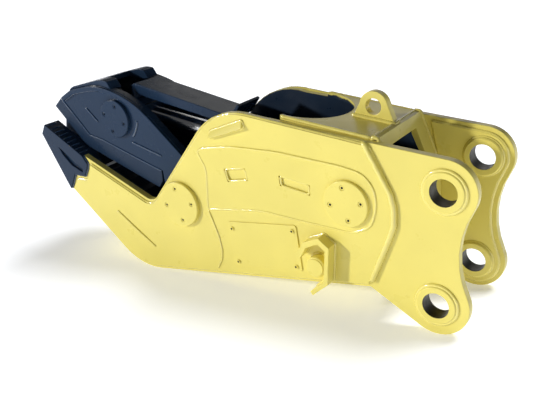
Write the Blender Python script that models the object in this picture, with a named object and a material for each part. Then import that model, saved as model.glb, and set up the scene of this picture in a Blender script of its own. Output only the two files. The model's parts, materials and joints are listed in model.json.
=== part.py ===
"""Hydraulic pulverizer for a 20 t class excavator.

Two profiled side plates carry a fixed lower jaw in front and the pin ears
behind.  A moving upper jaw swings on a pivot pin between them, driven by one
hydraulic cylinder that stands inside the body.

World frame, in metres: +X runs from the jaws to the pin ears, +Y goes from the
near side plate to the far one, +Z is up.  Z = 0 is the floor that the lower
ears and the belly rest on.  Y = 0 is the plane of symmetry.
"""

import math

import bmesh
import bpy
from mathutils import Vector
from mathutils.geometry import tessellate_polygon

MM = 0.001

# Driving dimensions ---------------------------------------------------------
BORE_SPACING = 460 * MM  # between the two ear bores
BORE_R = 52.5 * MM  # ear bores, for bushes of a 80 mm pin
EAR_INNER_Y = 174 * MM  # half the gap for the excavator's stick
BODY_HALF = 244 * MM  # half the width over the skin plates
SKIN_T = 12 * MM  # outer skin plate
SIDE_T = 34 * MM  # main side plate
GAP = 0.3 * MM  # between touching pieces
RUNNING = 0.5 * MM  # radial clearance of a turning fit

# Widths, from the plane of symmetry outwards ---------------------------------
SKIN_Y = (BODY_HALF - SKIN_T, BODY_HALF)
SIDE_Y = (BODY_HALF - SKIN_T - SIDE_T, BODY_HALF - SKIN_T - GAP)
BAY_HALF = SIDE_Y[0] - GAP  # half the bay between the side plates
LINER_Y = (SIDE_Y[0] - 10 * MM, SIDE_Y[0] - GAP)
JAW_Y = (124 * MM, 164 * MM)
TIP_Y = (150 * MM, BODY_HALF)
CAP_T = 18 * MM

# Layout in the side view, X and Z --------------------------------------------
CENTRE_X = 1008.5 * MM  # puts the middle of the object's length at X = 0
UPPER_BORE = (CENTRE_X, 587 * MM)
LOWER_BORE = (UPPER_BORE[0] - 36 * MM, UPPER_BORE[1] - 459 * MM)
PIVOT = (CENTRE_X - 1250 * MM, 379 * MM)
REAR_PIN = (CENTRE_X - 387 * MM, 498 * MM)
ROD_PIN = (CENTRE_X - 1662 * MM, 730 * MM)

UPPER_LOBE_R = 122 * MM
LOWER_LOBE_R = 128 * MM
WAIST_R = 390 * MM
HUB_R = 80 * MM

PIVOT_PIN_R = 55 * MM
REAR_PIN_R = 45 * MM
ROD_PIN_R = 45 * MM
PIVOT_CAP_R = 107 * MM
REAR_CAP_R = 96 * MM
ROD_CAP_R = 92 * MM
BARREL_R = 100 * MM
CYL_BORE_R = 80 * MM
ROD_R = 45 * MM

ARC_STEP = math.radians(9)
ROUND = 40  # segments of a full circle

COLOURS = {
    "yellow_paint": ((0.78, 0.66, 0.09, 1), 0.35, 0.0),
    "slate_paint": ((0.045, 0.07, 0.115, 1), 0.42, 0.0),
    "tip_steel": ((0.05, 0.075, 0.12, 1), 0.5, 0.2),
    "chrome": ((0.75, 0.76, 0.78, 1), 0.12, 1.0),
    "bronze": ((0.55, 0.36, 0.14, 1), 0.35, 1.0),
    "pin_steel": ((0.35, 0.35, 0.36, 1), 0.35, 1.0),
}


# Small geometry --------------------------------------------------------------
def arc(centre, radius, start_deg, end_deg):
    """Points of an arc in the side view, both ends included."""
    start, end = math.radians(start_deg), math.radians(end_deg)
    steps = max(1, math.ceil(abs(end - start) / ARC_STEP))
    angles = [start + (end - start) * i / steps for i in range(steps + 1)]
    return [
        (centre[0] + radius * math.cos(a), centre[1] + radius * math.sin(a))
        for a in angles
    ]


def circle(centre, radius, segments=ROUND):
    """A closed ring of points in the side view, without a repeated end."""
    turn = 2 * math.pi / segments
    return [
        (centre[0] + radius * math.cos(turn * i), centre[1] + radius * math.sin(turn * i))
        for i in range(segments)
    ]


def rounded(corners):
    """A closed outline through corners (x, z) or (x, z, fillet radius)."""
    points = []
    for i, corner in enumerate(corners):
        here = Vector(corner[:2])
        radius = corner[2] if len(corner) > 2 else 0.0
        if radius == 0.0:
            points.append(tuple(here))
            continue
        to_last = (Vector(corners[i - 1][:2]) - here).normalized()
        to_next = (Vector(corners[(i + 1) % len(corners)][:2]) - here).normalized()
        half = to_last.angle(to_next) / 2
        centre = here + (to_last + to_next).normalized() * (radius / math.sin(half))
        first = here + to_last * (radius / math.tan(half)) - centre
        last = here + to_next * (radius / math.tan(half)) - centre
        start = math.atan2(first.y, first.x)
        sweep = math.atan2(last.y, last.x) - start
        sweep = (sweep + math.pi) % (2 * math.pi) - math.pi
        points += arc(centre, radius, math.degrees(start), math.degrees(start + sweep))
    return points


def layout(*corners):
    """Corners given in millimetres behind the upper bore's centre and up from the floor."""
    return [
        (CENTRE_X + x * MM, z * MM, *[r * MM for r in radius])
        for x, z, *radius in corners
    ]


def angle_deg(a, b):
    return math.degrees(math.atan2(b[1] - a[1], b[0] - a[0]))


# Objects ---------------------------------------------------------------------
def clear_scene():
    for obj in list(bpy.data.objects):
        bpy.data.objects.remove(obj, do_unlink=True)
    for group in list(bpy.data.collections):
        bpy.data.collections.remove(group)


def new_collection(name):
    group = bpy.data.collections.new(name)
    bpy.context.scene.collection.children.link(group)
    return group


def make_materials():
    for name, (colour, roughness, metallic) in COLOURS.items():
        material = bpy.data.materials.new(name)
        material.use_nodes = True
        shader = material.node_tree.nodes["Principled BSDF"]
        shader.inputs["Base Color"].default_value = colour
        shader.inputs["Roughness"].default_value = roughness
        shader.inputs["Metallic"].default_value = metallic


def add_object(name, mesh, group, parent=None, material=None):
    obj = bpy.data.objects.new(name, mesh)
    group.objects.link(obj)
    obj.parent = parent
    if material:
        mesh.materials.append(bpy.data.materials[material])
    mesh.shade_smooth()
    mesh.set_sharp_from_angle(angle=math.radians(30))
    return obj


def prism_mesh(name, loops, y_low, y_high):
    """A flat plate: an outline and its holes, drawn from y_low to y_high."""
    bm = bmesh.new()
    low, high = [], []
    for loop in loops:
        ring_low = [bm.verts.new((x, y_low, z)) for x, z in loop]
        ring_high = [bm.verts.new((x, y_high, z)) for x, z in loop]
        low += ring_low
        high += ring_high
        for i in range(len(loop)):
            j = (i + 1) % len(loop)
            bm.faces.new((ring_low[i], ring_low[j], ring_high[j], ring_high[i]))
    flat = [[Vector((x, z, 0)) for x, z in loop] for loop in loops]
    for a, b, c in tessellate_polygon(flat):
        bm.faces.new((low[a], low[b], low[c]))
        bm.faces.new((high[a], high[c], high[b]))
    bmesh.ops.recalc_face_normals(bm, faces=bm.faces)
    mesh = bpy.data.meshes.new(name)
    bm.to_mesh(mesh)
    bm.free()
    return mesh


def turned_mesh(name, profile, segments=ROUND, axis="Y"):
    """A turned shape: a closed profile of (radius, distance along the axis)."""
    bm = bmesh.new()
    rings = []
    for radius, along in profile:
        if radius < 1e-9:
            rings.append([bm.verts.new(place(0, 0, along, axis))])
            continue
        turn = 2 * math.pi / segments
        rings.append(
            [
                bm.verts.new(
                    place(radius * math.cos(turn * i), radius * math.sin(turn * i), along, axis)
                )
                for i in range(segments)
            ]
        )
    for ring, after in zip(rings, rings[1:] + rings[:1]):
        if len(ring) == 1 and len(after) == 1:
            continue
        for i in range(segments):
            j = (i + 1) % segments
            corners = [ring[i % len(ring)], ring[j % len(ring)]]
            corners += [after[j % len(after)], after[i % len(after)]]
            bm.faces.new(list(dict.fromkeys(corners)))
    bmesh.ops.recalc_face_normals(bm, faces=bm.faces)
    mesh = bpy.data.meshes.new(name)
    bm.to_mesh(mesh)
    bm.free()
    return mesh


def place(a, b, along, axis):
    return (a, along, b) if axis == "Y" else (along, a, b)


class Builder:
    """Adds named parts, each under the empty of the body that it moves with."""

    def __init__(self):
        self.parts = new_collection("hydraulic_pulverizer")
        self.cutters = new_collection("cutters")

    def empty(self, name, centre, parent=None):
        hinge = bpy.data.objects.new(name, None)
        self.parts.objects.link(hinge)
        hinge.parent = parent
        hinge.location = (centre[0], 0, centre[1])
        return hinge

    def plate(self, name, outline, y_range, material, holes=(), parent=None):
        mesh = prism_mesh(name, [outline, *holes], *sorted(y_range))
        return add_object(name, mesh, self.parts, parent, material)

    def pair(self, name, outline, y_range, material, holes=(), parent=None):
        """The same plate on the near side, at -Y, and on the far side."""
        low, high = y_range
        near = self.plate(f"{name}_near", outline, (-high, -low), material, holes, parent)
        far = self.plate(f"{name}_far", outline, (low, high), material, holes, parent)
        return near, far

    def turned(self, name, profile, centre, material, parent=None, axis="Y"):
        mesh = turned_mesh(name, profile, axis=axis)
        obj = add_object(name, mesh, self.parts, parent, material)
        obj.location = (centre[0], 0, centre[1])
        return obj

    def turned_pair(self, name, profile, centre, material, parent=None):
        mirrored = [(radius, -along) for radius, along in profile]
        near = self.turned(f"{name}_near", mirrored, centre, material, parent)
        far = self.turned(f"{name}_far", profile, centre, material, parent)
        return near, far

    def cut(self, target, mesh, location=(0, 0, 0), rotation=(0, 0, 0)):
        """Cuts a closed mesh, placed in the target's own frame, out of the target."""
        cutter = bpy.data.objects.new(f"cut_{target.name}_{len(self.cutters.objects)}", mesh)
        self.cutters.objects.link(cutter)
        cutter.parent = target.parent
        cutter.location = location
        cutter.rotation_euler = rotation
        cutter.hide_render = True
        cutter.display_type = "WIRE"
        modifier = target.modifiers.new("Difference", "BOOLEAN")
        modifier.object = cutter
        modifier.operation = "DIFFERENCE"
        modifier.solver = "EXACT"


# Outlines in the side view ----------------------------------------------------
def waist_centre():
    """Centre of the arc that hollows the plate between the two ear lobes."""
    reach_up = UPPER_LOBE_R + WAIST_R
    reach_down = LOWER_LOBE_R + WAIST_R
    dx, dz = LOWER_BORE[0] - UPPER_BORE[0], LOWER_BORE[1] - UPPER_BORE[1]
    span = math.hypot(dx, dz)
    along = (reach_up**2 - reach_down**2 + span**2) / (2 * span)
    out = math.sqrt(reach_up**2 - along**2)
    ux, uz = dx / span, dz / span
    return (UPPER_BORE[0] + ux * along - uz * out, UPPER_BORE[1] + uz * along + ux * out)


def ear_outline(inset=0.0):
    """Rear edge, from the top of the upper lobe round to the foot of the lower one."""
    waist = waist_centre()
    up = angle_deg(UPPER_BORE, waist)
    down = angle_deg(LOWER_BORE, waist)
    return (
        arc(UPPER_BORE, UPPER_LOBE_R - inset, 81.5, up)
        + arc(waist, WAIST_R + inset, 180 + up, 180 + down)[1:-1]
        + arc(LOWER_BORE, LOWER_LOBE_R - inset, down, -119.5)
    )


def body_outline():
    """The main side plate: jaw edge, notch, throat, back, ears, belly and nose."""
    front = rounded(
        layout(
            (-1999, 356),
            (-1983, 382),
            (-1950, 439),
            (-1879, 435),
            (-1851, 477),
            (-1841, 505),
            (-1869, 546),
            (-1439, 353, 58),
            (-990, 859, 300),
        )
        + [UPPER_BORE]
    )[:-1]
    belly = rounded(
        [LOWER_BORE]
        + layout((-313, 145, 20), (-1593.7, -14.06, 283), (-1999, 356))
    )[1:-1]
    return front + ear_outline() + belly


def skin_outline():
    """The outer skin: the body's outline drawn in, and cut off along a curve ahead of the ears."""
    weld = 18  # millimetres that the main plate stands out beyond the skin
    return rounded(
        layout(
            (-1976, 364),
            (-1938, 415),
            (-1866, 416),
            (-1834, 470),
            (-1822, 503),
            (-1441, 353 - weld - 4, 76),
            (-986, 859 - weld - 5, 282),
            (-289, 752 - weld, 6),
            (-200, 545, 60),
            (-194, 440, 60),
            (-314, 144 + weld, 6),
            (-1588, -14.9 + weld + 2, 265),
        )
    )


# Frame -----------------------------------------------------------------------
def build_sides(make):
    hub_holes = [circle(UPPER_BORE, HUB_R + GAP), circle(LOWER_BORE, HUB_R + GAP)]
    pin_holes = [circle(PIVOT, PIVOT_PIN_R + GAP), circle(REAR_PIN, REAR_PIN_R + GAP)]
    port_hole = [circle(PORT, PORT_R + GAP)]
    make.pair("side_plate", body_outline(), SIDE_Y, "yellow_paint", hub_holes + pin_holes + port_hole)
    skins = make.pair("skin_plate", skin_outline(), SKIN_Y, "yellow_paint", pin_holes + port_hole)
    for skin, side in zip(skins, (-1, 1)):
        for slot in SLOTS:
            depth = (side * (BODY_HALF - 6 * MM), side * (BODY_HALF + 6 * MM))
            make.cut(skin, prism_mesh("slot", [slot], *sorted(depth)))


def build_hubs(make):
    profile = [
        (BORE_R, EAR_INNER_Y),
        (HUB_R - 5 * MM, EAR_INNER_Y),
        (HUB_R, EAR_INNER_Y + 5 * MM),
        (HUB_R, BODY_HALF - 5 * MM),
        (HUB_R - 5 * MM, BODY_HALF),
        (BORE_R, BODY_HALF),
    ]
    make.turned_pair("ear_hub_upper", profile, UPPER_BORE, "yellow_paint")
    make.turned_pair("ear_hub_lower", profile, LOWER_BORE, "yellow_paint")


def liner_outline():
    waist = waist_centre()
    inset = 26 * MM
    up, down = angle_deg(UPPER_BORE, waist), angle_deg(LOWER_BORE, waist)
    return (
        layout((-176, 520), (-216, 735 - 20))
        + arc(UPPER_BORE, UPPER_LOBE_R - inset, 81.5, up)
        + arc(waist, WAIST_R + inset, 180 + up, 180 + down)[1:-1]
        + arc(LOWER_BORE, LOWER_LOBE_R - inset, down, -119.5)
        + layout((-176, 110))
    )


def build_liners(make):
    holes = [circle(UPPER_BORE, HUB_R + GAP), circle(LOWER_BORE, HUB_R + GAP)]
    outline = [point[:2] for point in liner_outline()]
    make.pair("ear_liner", outline, LINER_Y, "yellow_paint", holes)


TOP_SLOPE = math.atan(0.1501)
MOUTH_R = 187 * MM


def top_z(x_mm):
    """Height of the side plates' straight back edge, in millimetres."""
    return 806 - math.tan(TOP_SLOPE) * (x_mm + 622)


def build_cross_members(make):
    half = (-BAY_HALF, BAY_HALF)
    # Top plate, with a round-ended mouth that lets the cylinder swing up.
    top = layout((-690, top_z(-690)), (-290, top_z(-290)), (-290, top_z(-290) - 20))
    top += layout((-693, top_z(-690) - 20))
    plate = make.plate("top_plate", top, half, "yellow_paint")
    mouth = turned_mesh("mouth", disc(MOUTH_R, 0.6, 1.0), segments=72)
    make.cut(plate, mouth, (CENTRE_X - 675 * MM, 0, 0), (math.radians(90), 0, 0))
    # Sloping bulkhead behind it, with a window for the hoses.
    bulkhead = layout(
        (-289.5, top_z(-289.5)), (-266, top_z(-266)), (-200, 575), (-222, 570), (-289.5, 727)
    )
    window = make.plate("rear_bulkhead", bulkhead, half, "yellow_paint")
    hole = prism_mesh("window", [layout((-330, 696), (-150, 720), (-150, 604), (-330, 590))], -0.11, 0.11)
    make.cut(window, hole)
    lower = layout((-200, 568), (-178, 480), (-178, 150), (-200, 150), (-200, 478), (-221, 563))
    make.plate("lower_bulkhead", lower, half, "yellow_paint")
    belly = layout((-315, 166), (-1450, 20), (-1450, 45), (-315, 191))
    make.plate("belly_plate", belly, half, "yellow_paint")
    chin = rounded(
        layout(
            (-1452, 20), (-1592, 8, 240), (-1962, 358), (-1940, 372), (-1592, 38, 215), (-1452, 45)
        )
    )
    make.plate("chin_plate", chin, half, "yellow_paint")


def disc(radius, low, high):
    return [(0, low), (radius, low), (radius, high), (0, high)]


def build_lug(make):
    x, z, r = -371, 820, 62
    hole = circle(layout((x, z))[0], 33 * MM, 32)
    left, right = layout((x - 90, top_z(x - 90) + 0.4)), layout((x + 88, top_z(x + 88) + 0.4))
    outline = [*left, *right] + arc(layout((x, z))[0], r * MM, 12, 168)
    lug = make.plate("lifting_lug", outline, (-18 * MM, 18 * MM), "yellow_paint", [hole])
    return lug


def bolt_circle(count_radius, phase_deg):
    return [
        (count_radius * math.cos(a), count_radius * math.sin(a))
        for a in (math.radians(phase_deg + 90 * i) for i in range(4))
    ]


def add_cap_pair(make, name, centre, radius, y_inner, material, phase, parent=None):
    """Round cover over a pin's end, held by four sunk screws."""
    profile = [
        (0, y_inner),
        (radius, y_inner),
        (radius, y_inner + CAP_T - 3 * MM),
        (radius - 3 * MM, y_inner + CAP_T),
        (0, y_inner + CAP_T),
    ]
    caps = make.turned_pair(name, profile, centre, material, parent)
    for cap, side in zip(caps, (-1, 1)):
        for dx, dz in bolt_circle(radius * 0.70, phase):
            pocket = turned_mesh("pocket", disc(11 * MM, 0, 0.05), segments=16)
            depth = y_inner + CAP_T - 8 * MM if side > 0 else -(y_inner + CAP_T - 8 * MM) - 0.05
            make.cut(cap, pocket, (centre[0] + dx, depth, centre[1] + dz))


def build_pins(make):
    pin_end = BODY_HALF - 1 * MM
    for name, centre, radius in (
        ("jaw_pivot_pin", PIVOT, PIVOT_PIN_R),
        ("cylinder_rear_pin", REAR_PIN, REAR_PIN_R),
    ):
        profile = [
            (0, -pin_end),
            (radius - 3 * MM, -pin_end),
            (radius, -pin_end + 3 * MM),
            (radius, pin_end - 3 * MM),
            (radius - 3 * MM, pin_end),
            (0, pin_end),
        ]
        make.turned(name, profile, centre, "pin_steel")
    thrust = [
        (PIVOT_PIN_R + 2 * MM, JAW_Y[1] + 2 * MM),
        (125 * MM, JAW_Y[1] + 2 * MM),
        (125 * MM, SIDE_Y[0] - GAP),
        (PIVOT_PIN_R + 2 * MM, SIDE_Y[0] - GAP),
    ]
    make.turned_pair("pivot_thrust_ring", thrust, PIVOT, "bronze")
    add_cap_pair(make, "pivot_pin_cap", PIVOT, PIVOT_CAP_R, BODY_HALF + GAP, "yellow_paint", 8)
    add_cap_pair(make, "rear_pin_cap", REAR_PIN, REAR_CAP_R, BODY_HALF + GAP, "yellow_paint", 8)


def build_lower_jaw(make):
    tip = layout(
        (-2107, 689),
        (-2139, 640),
        (-2001, 356),
        (-1984, 382.5),
        (-1950.5, 439.5),
        (-1879.2, 435.6),
        (-1851.4, 477.3),
        (-1841.6, 505),
        (-1869.6, 546.2),
    )
    for obj, side in zip(make.pair("lower_jaw_tip", tip, TIP_Y, "tip_steel"), (-1, 1)):
        relief = layout((-2029, 575), (-1921, 500), (-1880, 478), (-1888, 458), (-1960, 490), (-2010, 540))
        depth = (side * (BODY_HALF - 12 * MM), side * (BODY_HALF + 6 * MM))
        make.cut(obj, prism_mesh("relief", [relief], *sorted(depth)))
    bar = layout((-2040, 470), (-1990, 380), (-1955, 440), (-1915, 437), (-1935, 480), (-2020, 528))
    make.plate("lower_jaw_crossbar", bar, (-TIP_Y[0] + GAP, TIP_Y[0] - GAP), "tip_steel")
    crush = [(-1905, 430), (-1870, 400), (-1520, 245), (-1500, 285)]
    for i in range(3):
        x = -1590 - 100 * i
        foot = 325 - (x + 1590) * 0.44
        crush += [(x + 30, foot - 16), (x, foot + 34), (x - 30, foot + 12)]
    make.plate("crushing_plate", layout(*crush), (-BAY_HALF, BAY_HALF), "tip_steel")


PORT = layout((-530, 212))[0][:2]
PORT_R = 46 * MM
SLOTS = [
    layout((-975, 575), (-960, 518), (-850, 535), (-860, 590)),
    layout((-694, 577), (-692, 533), (-550, 507), (-548, 552)),
    layout((-1686, 276), (-1678, 284), (-1456, 127), (-1464, 119)),
]


def build_ports(make):
    """Hose connections through the skin, each in a welded guard."""
    neck = 42 * MM
    profile = [
        (22 * MM, SIDE_Y[0]),
        (PORT_R, SIDE_Y[0]),
        (PORT_R, BODY_HALF + neck - 4 * MM),
        (PORT_R - 4 * MM, BODY_HALF + neck),
        (22 * MM, BODY_HALF + neck),
    ]
    make.turned_pair("hose_port", profile, PORT, "yellow_paint")
    guard = layout(
        (-612, 262), (-572, 322), (-498, 352), (-452, 316), (-470, 150), (-545, 88), (-556, 104),
        (-488, 160), (-472, 300), (-502, 326), (-560, 300), (-590, 250),
    )
    make.pair("port_guard", guard, (BODY_HALF + GAP, BODY_HALF + 56 * MM), "yellow_paint")


def build_trim(make):
    cover = rounded(layout((-988, 330, 12), (-632, 366, 12), (-618, 160, 12), (-975, 122, 12)))
    cover_y = (BODY_HALF + GAP, BODY_HALF + 5 * MM)
    make.pair("service_cover", cover, cover_y, "yellow_paint")
    build_stop_blocks(make)


def build_stop_blocks(make):
    """Wedge bars: each stands out most along its lower edge and slopes back to the skin."""
    foot = layout((-1030, 708), (-1022, 738), (-848, 796), (-842, 766))
    stand = [22 * MM, 4 * MM, 4 * MM, 22 * MM]
    for name, side in (("stop_block_near", -1), ("stop_block_far", 1)):
        bm = bmesh.new()
        base = [bm.verts.new((x, side * (BODY_HALF + GAP), z)) for x, z in foot]
        crown = [
            bm.verts.new((x, side * (BODY_HALF + out), z)) for (x, z), out in zip(foot, stand)
        ]
        bm.faces.new(base)
        bm.faces.new(crown)
        for i in range(4):
            j = (i + 1) % 4
            bm.faces.new((base[i], base[j], crown[j], crown[i]))
        bmesh.ops.recalc_face_normals(bm, faces=bm.faces)
        mesh = bpy.data.meshes.new(name)
        bm.to_mesh(mesh)
        bm.free()
        add_object(name, mesh, make.parts, None, "yellow_paint")


# Upper jaw, in a frame on the pivot's axis ------------------------------------
def in_jaw(*corners):
    return [
        (x - PIVOT[0], z - PIVOT[1], *radius) for x, z, *radius in layout(*corners)
    ]


def build_jaw(make):
    hinge = make.empty("jaw_hinge", PIVOT)
    tube_r = 95 * MM
    boss_r = 135 * MM
    rod = (ROD_PIN[0] - PIVOT[0], ROD_PIN[1] - PIVOT[1])
    crest = rounded(
        in_jaw((-2032, 812), (-1938, 860, 40), (-1765, 891, 300), (-1535, 839, 480), (-1125, 452))
    )
    plate = crest + arc((0, 0), boss_r, 20, -150)
    plate += rounded(in_jaw((-1411, 400), (-1414, 490), (-1781, 612), (-1841, 625), (-1871, 632)))
    make.pair("jaw_plate", plate, JAW_Y, "slate_paint", [circle((0, 0), tube_r + GAP)], hinge)
    blade = in_jaw(
        (-2086, 768), (-2033.5, 810), (-1872, 629), (-1841.5, 622), (-1781.5, 609), (-1416, 487.5),
        (-1420, 440), (-1446, 404), (-1907, 575),
    )
    make.pair("jaw_blade", blade, (JAW_Y[0], JAW_Y[1] + 4 * MM), "tip_steel", parent=hinge)
    tube = [
        (PIVOT_PIN_R + 8 * MM, -JAW_Y[1]),
        (tube_r, -JAW_Y[1]),
        (tube_r, JAW_Y[1]),
        (PIVOT_PIN_R + 8 * MM, JAW_Y[1]),
    ]
    make.turned("jaw_pivot_tube", tube, (0, 0), "slate_paint", hinge)
    bush_r = PIVOT_PIN_R + 8 * MM - GAP
    bush = [
        (PIVOT_PIN_R + RUNNING, 70 * MM),
        (bush_r, 70 * MM),
        (bush_r, JAW_Y[1]),
        (PIVOT_PIN_R + RUNNING, JAW_Y[1]),
    ]
    make.turned_pair("jaw_pivot_bush", bush, (0, 0), "bronze", hinge)
    boss = disc(100 * MM, EYE_HALF + 2 * MM, JAW_Y[0] - GAP)
    make.turned_pair("rod_pin_boss", boss, rod, "slate_paint", hinge)
    add_cap_pair(make, "rod_pin_cap", rod, ROD_CAP_R, JAW_Y[1] + GAP, "slate_paint", -18, hinge)
    half = (-JAW_Y[0] + GAP, JAW_Y[0] - GAP)
    build_front_plate(make, hinge, crest)
    tooth = in_jaw(
        (-2072, 750), (-2086, 690), (-2100, 640), (-2085, 600), (-2010, 560), (-1940, 525),
        (-1860, 590), (-1868, 632), (-1990, 770), (-2026, 745),
    )
    tooth_half = (-120 * MM, 120 * MM)
    make.plate("jaw_tooth", tooth, tooth_half, "tip_steel", parent=hinge)
    web = in_jaw((-1830, 556), (-1500, 432), (-1480, 464), (-1815, 587))
    make.plate("jaw_web", web, half, "slate_paint", parent=hinge)


def build_front_plate(make, hinge, crest):
    """Closes the top of the jaw, and carries the two blocks that meet the body's stops."""
    outline = rounded(
        in_jaw(
            (-2050, 774),
            (-2030, 812),
            (-1934, 872, 60),
            (-1731, 913, 150),
            (-1688, 906, 15),
            (-1664, 866),
            (-1700, 862),
            (-1790, 874),
            (-1924, 845, 30),
            (-2008, 795),
            (-2026, 760),
        )
    )
    plate = make.plate(
        "jaw_front_plate", outline, (-JAW_Y[1], JAW_Y[1]), "slate_paint", parent=hinge
    )
    # Over the side plates the blocks stand on the crest; nothing of them is left below it.
    (front, high), (far_left, low) = in_jaw((-1960, 1000), (-2200, 400))
    below = [(front, high), (front, 849.5 * MM - PIVOT[1])]
    below += [(x, z + 0.5 * MM) for x, z in crest if x > front]
    below += [(crest[-1][0], low), (far_left, low), (far_left, high)]
    inner = JAW_Y[0] - GAP
    make.cut(plate, prism_mesh("crest_near", [below], -0.3, -inner))
    make.cut(plate, prism_mesh("crest_far", [below], inner, 0.3))
    slot = in_jaw((-1788, 1000), (-1500, 1000), (-1500, 700), (-1788, 700))
    make.cut(plate, prism_mesh("guard_slot", [slot], -92 * MM, 92 * MM))


# Cylinder, in a frame on the rear pin with +X along the rod -------------------
EYE_HALF = 95 * MM
PIN_TO_PIN = math.dist(REAR_PIN, ROD_PIN)
ROD_ANGLE = math.atan2(ROD_PIN[1] - REAR_PIN[1], -(ROD_PIN[0] - REAR_PIN[0]))
BARREL_END = 760 * MM
GLAND_END = 800 * MM


def build_cylinder(make):
    hinge = make.empty("cylinder_hinge", REAR_PIN)
    hinge.rotation_euler = (0, -ROD_ANGLE, math.pi)
    barrel = [
        (0, 120 * MM),
        (BARREL_R, 120 * MM),
        (BARREL_R, BARREL_END - GAP),
        (CYL_BORE_R, BARREL_END - GAP),
        (CYL_BORE_R, 150 * MM),
        (0, 150 * MM),
    ]
    make.turned("cylinder_barrel", barrel, (0, 0), "slate_paint", hinge, "X")
    eye_outline = arc((0, 0), 88 * MM, 38, 322)
    eye_outline += [(119.7 * MM, -62 * MM), (119.7 * MM, 62 * MM)]
    eye_hole = [circle((0, 0), REAR_PIN_R + 8 * MM)]
    make.plate("cylinder_eye", eye_outline, (-80 * MM, 80 * MM), "slate_paint", eye_hole, hinge)
    bush = [
        (REAR_PIN_R + RUNNING, -80 * MM),
        (REAR_PIN_R + 8 * MM - GAP, -80 * MM),
        (REAR_PIN_R + 8 * MM - GAP, 80 * MM),
        (REAR_PIN_R + RUNNING, 80 * MM),
    ]
    make.turned("cylinder_eye_bush", bush, (0, 0), "bronze", hinge)
    gland = [
        (ROD_R + RUNNING, BARREL_END - 60 * MM),
        (CYL_BORE_R - GAP, BARREL_END - 60 * MM),
        (CYL_BORE_R - GAP, BARREL_END),
        (BARREL_R + 12 * MM, BARREL_END),
        (BARREL_R + 12 * MM, GLAND_END - 6 * MM),
        (BARREL_R + 6 * MM, GLAND_END),
        (ROD_R + RUNNING, GLAND_END),
    ]
    make.turned("cylinder_gland", gland, (0, 0), "slate_paint", hinge, "X")
    return hinge


def build_rod(make, hinge):
    slide = make.empty("rod_slide", (0, 0), parent=hinge)
    piston_x = 520 * MM  # at rest; it backs off by the whole stroke
    rod = [
        (0, piston_x + 60 * MM + GAP),
        (ROD_R, piston_x + 60 * MM + GAP),
        (ROD_R, PIN_TO_PIN - 83 * MM),
        (0, PIN_TO_PIN - 83 * MM),
    ]
    make.turned("piston_rod", rod, (0, 0), "chrome", slide, "X")
    piston = [
        (0, piston_x),
        (CYL_BORE_R - RUNNING, piston_x),
        (CYL_BORE_R - RUNNING, piston_x + 60 * MM),
        (0, piston_x + 60 * MM),
    ]
    make.turned("piston", piston, (0, 0), "pin_steel", slide, "X")
    eye = [(PIN_TO_PIN - 82.7 * MM, -55 * MM), (PIN_TO_PIN - 82.7 * MM, 55 * MM)]
    eye = arc((PIN_TO_PIN, 0), 85 * MM, -142, 142) + eye[::-1]
    eye_hole = [circle((PIN_TO_PIN, 0), ROD_PIN_R + 8 * MM)]
    make.plate("rod_eye", eye, (-EYE_HALF + 5 * MM, EYE_HALF - 5 * MM), "slate_paint", eye_hole, slide)
    bush = [
        (ROD_PIN_R + GAP, -EYE_HALF + 5 * MM),
        (ROD_PIN_R + 8 * MM - GAP, -EYE_HALF + 5 * MM),
        (ROD_PIN_R + 8 * MM - GAP, EYE_HALF - 5 * MM),
        (ROD_PIN_R + GAP, EYE_HALF - 5 * MM),
    ]
    make.turned("rod_eye_bush", bush, (PIN_TO_PIN, 0), "bronze", slide)
    pin = disc(ROD_PIN_R, -EYE_HALF, EYE_HALF)
    make.turned("rod_pin", pin, (PIN_TO_PIN, 0), "pin_steel", slide)
    # Cover over the bare rod: bolted leg at the eye, roof, and a raised rear lip.
    leg = PIN_TO_PIN - 32 * MM
    roof = [
        (leg + 8 * MM, 83 * MM),
        (leg + 8 * MM, 150 * MM),
        (leg - 14 * MM, 164 * MM),
        (690 * MM, 137 * MM),
        (652 * MM, 200 * MM),
        (640 * MM, 194 * MM),
        (678 * MM, 123 * MM),
        (leg - 20 * MM, 149 * MM),
        (leg - 6 * MM, 140 * MM),
        (leg - 6 * MM, 83 * MM),
    ]
    make.plate("rod_guard", roof, (-80 * MM, 80 * MM), "slate_paint", parent=slide)


def main():
    clear_scene()
    make_materials()
    make = Builder()
    build_sides(make)
    build_hubs(make)
    build_liners(make)
    build_cross_members(make)
    build_lug(make)
    build_pins(make)
    build_lower_jaw(make)
    build_ports(make)
    build_trim(make)
    build_jaw(make)
    build_rod(make, build_cylinder(make))


main()
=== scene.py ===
"""Looks of the hydraulic pulverizer: rounded plates, welds, screws, paint, light and camera.

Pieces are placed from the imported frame.  Outlines in the side view are given in
millimetres behind the upper ear bore (x) and up from the floor (z), like the
CAD's own layout.  World frame in metres: +X towards the ears, +Z up.
"""

import json
import math

import bmesh
import bpy
from mathutils import Matrix, Vector, noise
from mathutils.geometry import tessellate_polygon

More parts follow.
